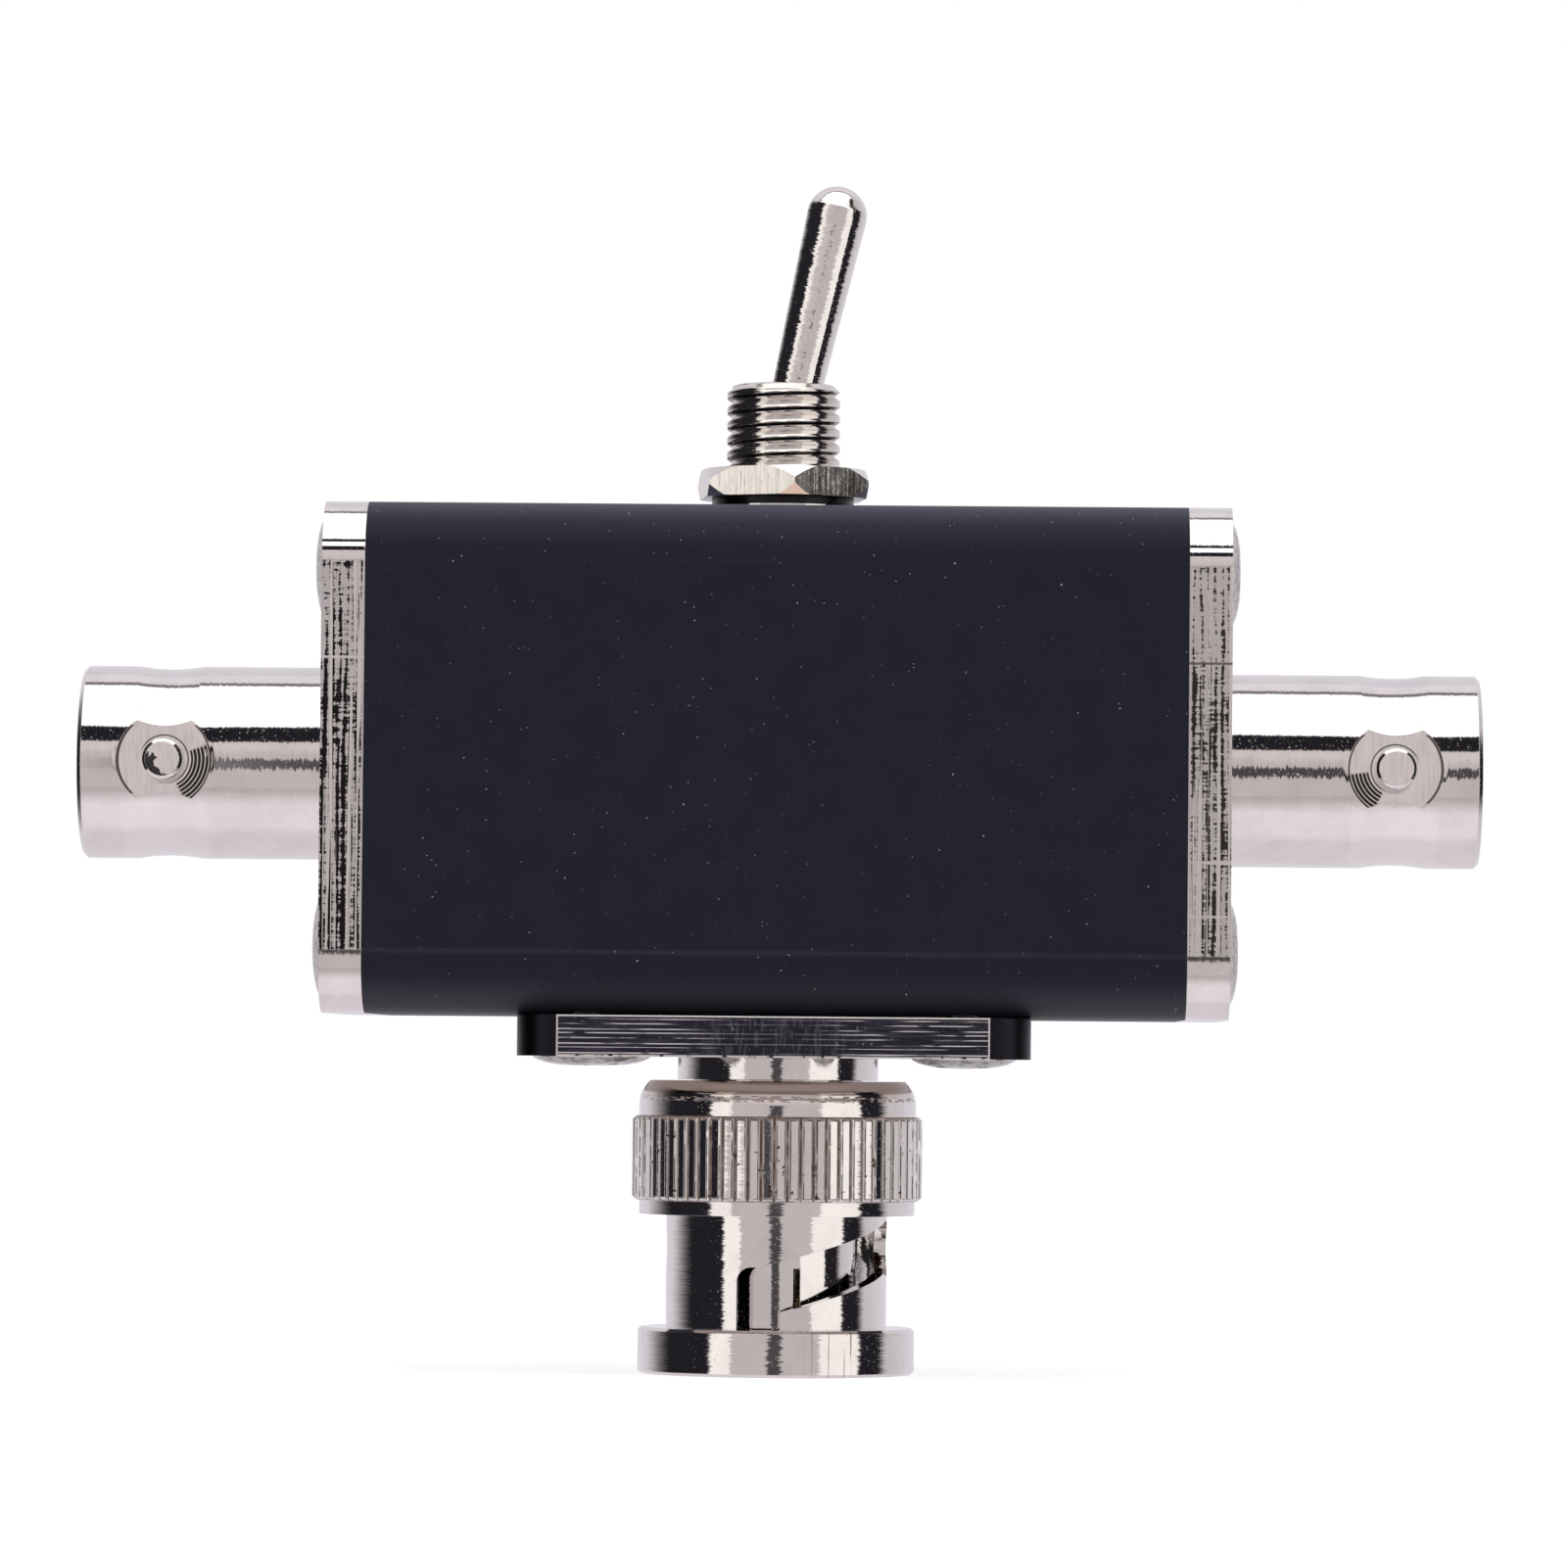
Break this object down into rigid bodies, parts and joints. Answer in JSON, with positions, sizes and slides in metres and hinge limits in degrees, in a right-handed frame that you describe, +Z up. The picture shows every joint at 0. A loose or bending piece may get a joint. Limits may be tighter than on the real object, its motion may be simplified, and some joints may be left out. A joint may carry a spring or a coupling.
{
  "type": "coaxial switch",
  "caption": "Inline coaxial A/B selector: square tube case with a bayonet jack at each end, a bayonet plug below and a toggle switch on top.",
  "frame": {"origin": "on the plug's axis, at the mouth of its coupling nut on which the switch stands", "axes": "+Z up along the plug's axis to the toggle switch, +X along the case tube to the right jack, -Y to the front"},
  "size_m": [0.0694, 0.025, 0.0593],
  "materials": {
    "black_anodised": "matte black anodised",
    "nickel_plate": "nickel plated, polished",
    "gold_contact": "gold plated",
    "ptfe": "white PTFE",
    "plated_steel": "nickel plated steel",
    "switch_nickel": "nickel plated, bright",
    "terminal_metal": "silver plated",
    "switch_plastic": "blue moulded",
    "plunger_plastic": "natural nylon",
    "gasket_rubber": "silicone",
    "wire_red": "PVC",
    "wire_white": "PVC",
    "wire_black": "PVC"
  },
  "bodies": {
    "housing": {"left_jack_shell": "nickel_plate", "right_jack_shell": "nickel_plate", "left_flange_screws": "nickel_plate", "right_flange_screws": "nickel_plate", "plug_body": "nickel_plate", "plug_flange_screws": "nickel_plate", "plug_outer_contact": "nickel_plate", "left_jack_contact": "gold_contact", "right_jack_contact": "gold_contact", "plug_centre_pin": "gold_contact", "left_jack_insulator": "ptfe", "right_jack_insulator": "ptfe", "plug_insulator": "ptfe", "hex_nut": "plated_steel", "lock_washer": "plated_steel", "keyed_washer": "plated_steel", "inner_washer": "plated_steel", "switch_frame": "plated_steel", "lever_pivot_pin": "plated_steel", "front_thrust_washer": "plated_steel", "wave_spring": "plated_steel", "toggle_bushing": "switch_nickel", "common_terminal": "terminal_metal", "left_terminal": "terminal_metal", "right_terminal": "terminal_metal", "housing_tube": "black_anodised", "switch_case": "switch_plastic", "plug_gasket": "gasket_rubber", "left_wire": "wire_red", "right_wire": "wire_white", "common_wire": "wire_black"},
    "nut_slide": {"rear_thrust_washer": "plated_steel"},
    "coupling_nut": {"coupling_nut": "nickel_plate"},
    "lever": {"toggle_lever": "switch_nickel", "lever_plunger": "plunger_plastic"},
    "rocker": {"rocker_contact": "terminal_metal"}
  },
  "joints": [
    {"name": "lever_throw", "type": "hinge", "parent": "housing", "child": "lever", "pos_m": [0, 0, 0.0462], "axis": [0, 1, 0], "range_deg": [-25, 0]},
    {"name": "rocker_tilt", "type": "hinge", "parent": "housing", "child": "rocker", "pos_m": [0, 0, 0.03677], "axis": [0, 1, 0], "range_deg": [0, 16]},
    {"name": "nut_travel", "type": "slide", "parent": "housing", "child": "nut_slide", "axis": [0, 0, -1], "range_m": [0, 0.00085], "stiffness_N_per_m": 2000, "springref_m": -0.001, "deforming": ["wave_spring"]},
    {"name": "nut_spin", "type": "hinge", "parent": "nut_slide", "child": "coupling_nut", "pos_m": [0, 0, 0], "axis": [0, 0, 1], "continuous": true}
  ],
  "couplings": [
    {"joint": "rocker_tilt", "follows": "lever_throw", "ratio": -0.64}
  ]
}
